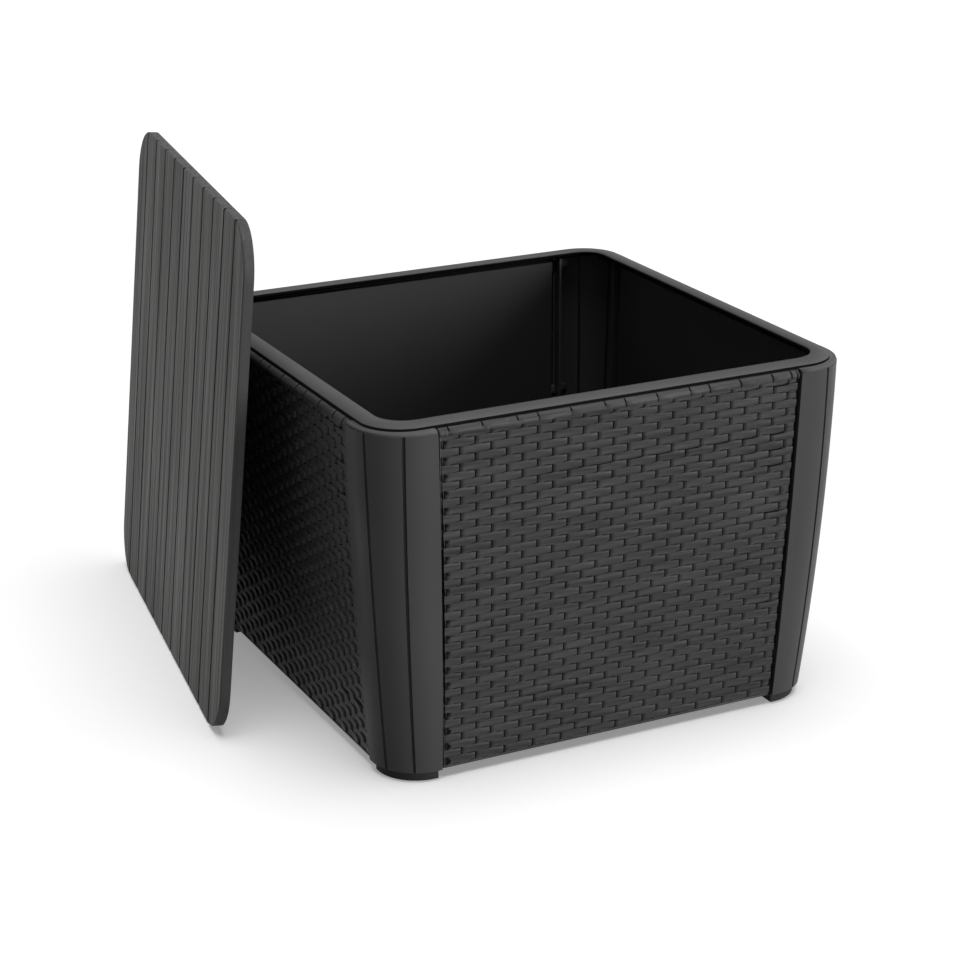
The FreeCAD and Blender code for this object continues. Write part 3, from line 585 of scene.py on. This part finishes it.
def add_strand(shape, number):
    middle = WALL_HEM - (number + 0.5) * PITCH
    narrowing = panel_half(middle) / PANEL_FULL
    first_end = (FIRST_END - (number % 2) * PERIOD / 2) * narrowing
    half = panel_half(middle) - SEAM_GAP - EDGE_BAR + TUCK
    columns = strand_columns(first_end, PERIOD * narrowing, half)
    for column, row, vert in grid_points(shape, len(columns), len(SECTION)):
        place, thick, drawn = columns[column]
        across, share = SECTION[row]
        height = middle + across * (PITCH / 2 + OVERLAP) + drawn * (1 - across) / 2
        over = strand_thickness(thick, share)
        vert.co = (-place, wall_face(height) - BACKING + over, height)
        vert[hollow_layer] = max(0, 1 - over / FLUSH)


woven = bmesh.new()
hollow_layer = woven.verts.layers.float.new("hollow")
for number in range(STRANDS):
    add_strand(woven, number)
print("strands:", STRANDS, "faces:", len(woven.faces))

# %% [markdown]
# ## Bars round the weave
# A plain bar runs down both sides of the panel and along its foot. The bars could be extruded along a path, but
# they are straight and taper with the wall, so each is a cube whose corners are put in place, with its edges
# bevelled.

# %% Side bars and foot bar
BAR_BEVEL = 0.4 * MM
FOOT_BAR_SUNK = 0.3 * MM             # how far the foot bar lies behind the woven face


def add_bar(shape, corner):
    """A bevelled bar; corner says where each of the eight corners of a cube goes."""
    made = bmesh.ops.create_cube(shape, size=2)["verts"]
    for vert in made:
        vert.co = corner(*(round(number) for number in vert.co))
    edges = {edge for vert in made for edge in vert.link_edges}
    bmesh.ops.bevel(shape, geom=list(edges), offset=BAR_BEVEL, affect="EDGES", segments=2, profile=0.5, material=-1)


def side_bar(side):
    def corner(across, out, level):
        height = WALL_FOOT if level < 0 else WALL_HEM
        place = panel_half(height) - SEAM_GAP - (EDGE_BAR if across < 0 else 0)
        depth = TUCK if out > 0 else BACKING + TUCK
        return side * place, wall_face(height) - depth, height
    return corner


def foot_bar(across, out, level):
    height = WALL_FOOT if level < 0 else WALL_HEM - STRANDS * PITCH
    depth = FOOT_BAR_SUNK if out > 0 else BACKING + TUCK
    return across * (panel_half(height) - SEAM_GAP - EDGE_BAR), wall_face(height) - depth, height


for corner in (side_bar(-1), side_bar(1), foot_bar):
    add_bar(woven, corner)
print("faces with bars:", len(woven.faces))

# %% [markdown]
# ## The border over the weave
# Along the top runs a sloping border in short blocks, as if the uprights were folded over and tucked in. Grooves
# in one long strip would have to be cut, so each block is a small grid of its own, with a real gap on each side.
# The backs of strands and blocks are then closed.

# %% Border blocks
BLOCKS = (39.1 * MM, 40.7 * MM, 24.3 * MM)   # lengths of the border's blocks, repeated
FIRST_BLOCK = -207.7 * MM
SHORTEST = 4 * MM                            # a block at the end that would be shorter joins its neighbour
GROOVE = 0.9 * MM                            # half the gap between blocks
DENT_PLACES = (0.3, 0.52, 0.75)
DENTS = ((0.1, 0.45, 0.0), (0.4, 0.0, 0.3), (0.0, 0.3, 0.5))   # how deep a block dips at those places, in mm
BORDER_LOW, BORDER_HIGH = 400.2 * MM, 404.6 * MM               # heights of the border's upright part
BORDER_TOP = ((289.8, 407.4), (287.4, 408.8), (286, 408.95))   # its slope: distance out and height, in mm
UPRIGHT_ROWS = 3                             # rows of the outline that a dip also draws down


def border_section():
    """The border's outline from its lower back edge to its upper back edge, as distance out and height."""
    low, high = wall_face(BORDER_LOW), wall_face(BORDER_HIGH)
    return (
        (low - BACKING, BORDER_LOW), (low + 0.5 * MM, BORDER_LOW), (low + 0.9 * MM, BORDER_LOW + 0.7 * MM),
        (high + 0.6 * MM, BORDER_HIGH), *((out * MM, height * MM) for out, height in BORDER_TOP),
    )


def border_blocks():
    """Left and right ends of the border's blocks."""
    half = panel_half(WALL_HEM) - SEAM_GAP
    ends = [FIRST_BLOCK]
    while ends[-1] < half:
        ends.append(ends[-1] + BLOCKS[(len(ends) - 1) % len(BLOCKS)])
    ends = [-half - GROOVE, *(end for end in ends if abs(end) < half - SHORTEST), half + GROOVE]
    return [(left + GROOVE, right - GROOVE) for left, right in zip(ends, ends[1:])]


def add_block(shape, left, right, dents):
    """One block of the border, a little lower at its ends and dented along its length."""
    dips = [(left + (right - left) * share, dent) for share, dent in zip(DENT_PLACES, dents)]
    columns = (
        (left, 0.5), (left + 0.6 * MM, 0.1), *dips,
        (right - 3 * MM, 0), (right - 0.3 * MM, 0.15), (right, 0.4),
    )
    section = border_section()
    for column, row, vert in grid_points(shape, len(columns), len(section)):
        place, low = columns[column]
        out, height = section[row]
        sunk = low * MM if 0 < row < len(section) - 1 else 0
        drop = 1.2 * low * MM if row < UPRIGHT_ROWS else 0
        vert.co = (-place, out - sunk, height - sunk * 0.5 - drop)


for number, (left, right) in enumerate(border_blocks()):
    add_block(woven, left, right, DENTS[number % len(DENTS)])
open_edges = [edge for edge in woven.edges if edge.is_boundary]
bmesh.ops.holes_fill(woven, edges=open_edges, sides=0)
bmesh.ops.recalc_face_normals(woven, faces=woven.faces[:])
print("weave faces:", len(woven.faces), "open edges:", sum(edge.is_boundary for edge in woven.edges))

# %% [markdown]
# ## The backing of a wall
# Behind the weave each wall keeps its solid panel with the tabs that hook into the posts. A copy of that
# solid's mesh is merged, its outer face is sunk by the depth of the weave, and the weave goes on top. The flange
# that carries the rim and the wall's inside behind the liner are in deep shade, which is painted on them with the
# near-black resin.

# %% Backing
MERGE = 0.001 * MM                   # corners nearer than this are one
FACE_DEPTH = 2 * MM                  # corners of the solid less deep than this belong to its woven face
ON_BACKING = 0.01 * MM               # corners nearer than this to the sunk face are on it
FLANGE = 398 * MM                    # height above which the wall's inner side is the flange under the rim
FLANGE_DEPTH = 6 * MM                # how deep the flange starts behind the woven face
INWARD = -0.7                        # a face that looks inward has less than this along the wall's outward axis
LARGE = 400 * MM * MM                # area of a face above which it is part of the wall's inside


def merged_copy(solid):
    """A solid's loose triangles with their corners joined."""
    shape = bmesh.new()
    shape.from_mesh(solid.data)
    bmesh.ops.remove_doubles(shape, verts=shape.verts[:], dist=MERGE)
    return shape


def add_backing(shape, solid):
    """Add a merged copy of a solid's mesh with its outer face sunk, and mark where it is hollow."""
    panel = merged_copy(solid)
    for vert in panel.verts:
        if vert.co.y > wall_face(vert.co.z) - FACE_DEPTH:
            vert.co.y = wall_face(vert.co.z) - BACKING
    copy = bpy.data.meshes.new("backing")
    panel.to_mesh(copy)
    panel.free()
    before = len(shape.verts)
    shape.from_mesh(copy)
    bpy.data.meshes.remove(copy)
    for vert in list(shape.verts)[before:]:
        if vert.co.z > WALL_HEM or abs(vert.co.y - wall_face(vert.co.z) + BACKING) < ON_BACKING:
            vert[hollow_layer] = 1


def is_shaded(face):
    """Whether a face is on the wall's flange or is one of the large faces on its inside."""
    middle = face.calc_center_median()
    flange = middle.z > FLANGE and middle.y < wall_face(middle.z) - FLANGE_DEPTH
    return flange or (face.normal.y < INWARD and face.calc_area() > LARGE)


add_backing(woven, nodes["wall_rear"])
woven.normal_update()
for face in woven.faces:
    # Material 1, the near-black resin, is painted shade on these faces.
    face.material_index = int(is_shaded(face))
print("wall faces:", len(woven.faces), "in shade:", sum(face.material_index for face in woven.faces))

# %% [markdown]
# ## The four woven walls
# The four walls come from one mould, so the rear wall is made once and turned about the table's middle for the
# rest. Before that it gets its map for the streaks, which then turns with it. Linked copies with a turned object
# would save memory, but a pattern has to stay put when the objects are exported, so each wall is a mesh of its
# own at the origin.

# %% A wall on each side
SIDES = {"rear": 0, "left": 90, "front": 180, "right": 270}
WALL_SHARP = 62                      # angle in degrees above which an edge of the weave stays sharp


def new_piece(name, shape, sharp, *finishes):
    """An object at the origin from a bmesh, smooth except over sharp edges."""
    mesh = bpy.data.meshes.new(name)
    shape.to_mesh(mesh)
    shape.free()
    mesh.shade_smooth()
    mesh.set_sharp_from_angle(angle=math.radians(sharp))
    for finish in finishes:
        mesh.materials.append(finish)
    piece = bpy.data.objects.new(name, mesh)
    scene.collection.objects.link(piece)
    return piece


strand_map = woven.loops.layers.uv.new("strand_map")
for face in woven.faces:
    for loop in face.loops:
        loop[strand_map].uv = (-loop.vert.co.x, loop.vert.co.z)
for side, degrees in SIDES.items():
    copy = woven.copy()
    turn = Matrix.Rotation(math.radians(degrees), 3, "Z")
    bmesh.ops.rotate(copy, verts=copy.verts[:], cent=(0, 0, 0), matrix=turn)
    wall = new_piece(f"woven_wall_{side}", copy, WALL_SHARP, weave_resin, painted_shade_resin)
    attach(wall, "box")
    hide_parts(f"wall_{side}")
    print(wall.name, "faces:", len(wall.data.polygons))
woven.free()

# %% [markdown]
# ## The rim's lip
# The rim's band falls a little towards the outside and thins to a lip over the storage space. Its outer upright
# face and the inside of the moulding below the lip lie in deep shade. Modelling the band anew would lose its fit,
# so a merged copy of the solid is changed: the upper corners sink with their distance from the inner edge, the
# lower inner edge rises, and the shaded faces get the near-black resin as painted shade.

# %% Sloping rim
RIM_INNER, RIM_ROUND, RIM_WIDTH = 261 * MM, 29 * MM, 24 * MM
RIM_SLOPE = (1.4 * MM, -0.4 * MM)    # how far the band rises at its inner edge and sinks at its outer edge
RIM_SHARP = 35                       # angle in degrees above which an edge of the rim stays sharp
BAND_LOW = 408.9 * MM                # corners above this belong to the band
BAND_HIGH = 411.9 * MM               # corners above this belong to the band's upper side
LIP_RISE = 3.4 * MM                  # how far the band's lower inner edge rises
LIP_BACK = 4 * MM                    # how far the inner edge moves outward
LIP_LOW_EDGE, LIP_EDGE = 0.5 * MM, 1.5 * MM      # corners nearer than this to the inner edge do so
SHADE_HIGH, SHADE_WIDTH = 411.8 * MM, 16 * MM    # below this and inside this the moulding is under the lip
OUTER_EDGE = 23.5 * MM               # past this distance a face is on the band's outer side
OUTER_LOW, OUTER_HIGH = 409 * MM, 412 * MM       # and there between these heights
UPRIGHT = 0.3                        # an upright face's normal rises by less than this


def from_inner_edge(spot):
    """How far a spot lies outside the rounded square of the rim's inner edge, and the direction outward."""
    flat = RIM_INNER - RIM_ROUND
    x, y = (math.copysign(max(abs(side) - flat, 0), side) for side in spot.xy)
    outward = Vector((x, y, 0))
    return outward.length - RIM_ROUND, outward.normalized()


def in_shade(face):
    """Whether a face is under the lip, or is the band's outer upright face."""
    middle = face.calc_center_median()
    out = from_inner_edge(middle)[0]
    under_lip = middle.z < SHADE_HIGH and out < SHADE_WIDTH
    outer_side = abs(face.normal.z) < UPRIGHT and out > OUTER_EDGE and OUTER_LOW < middle.z < OUTER_HIGH
    return under_lip or outer_side


def make_rim(solid):
    shape = merged_copy(solid)
    for vert in shape.verts:
        out, outward = from_inner_edge(vert.co)
        if vert.co.z > BAND_HIGH:
            share = min(max(out / RIM_WIDTH, 0), 1)
            vert.co.z += RIM_SLOPE[0] * (1 - share) + RIM_SLOPE[1] * share
        elif vert.co.z > BAND_LOW and out < LIP_LOW_EDGE:
            vert.co.z += LIP_RISE
        if vert.co.z > BAND_LOW and out < LIP_EDGE:
            vert.co += outward * LIP_BACK
    shape.normal_update()
    for face in shape.faces:
        # Material 1, the near-black resin, is painted shade under the lip and on the band's outer upright face.
        face.material_index = int(in_shade(face))
    return new_piece("sloping_rim", shape, RIM_SHARP, rim_resin_painted_light, painted_shade_resin)


rim = make_rim(nodes["rim_frame"])
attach(rim, "box")
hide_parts("rim_frame")
print(rim.name, "faces:", len(rim.data.polygons), "in shade:", sum(face.material_index for face in rim.data.polygons))
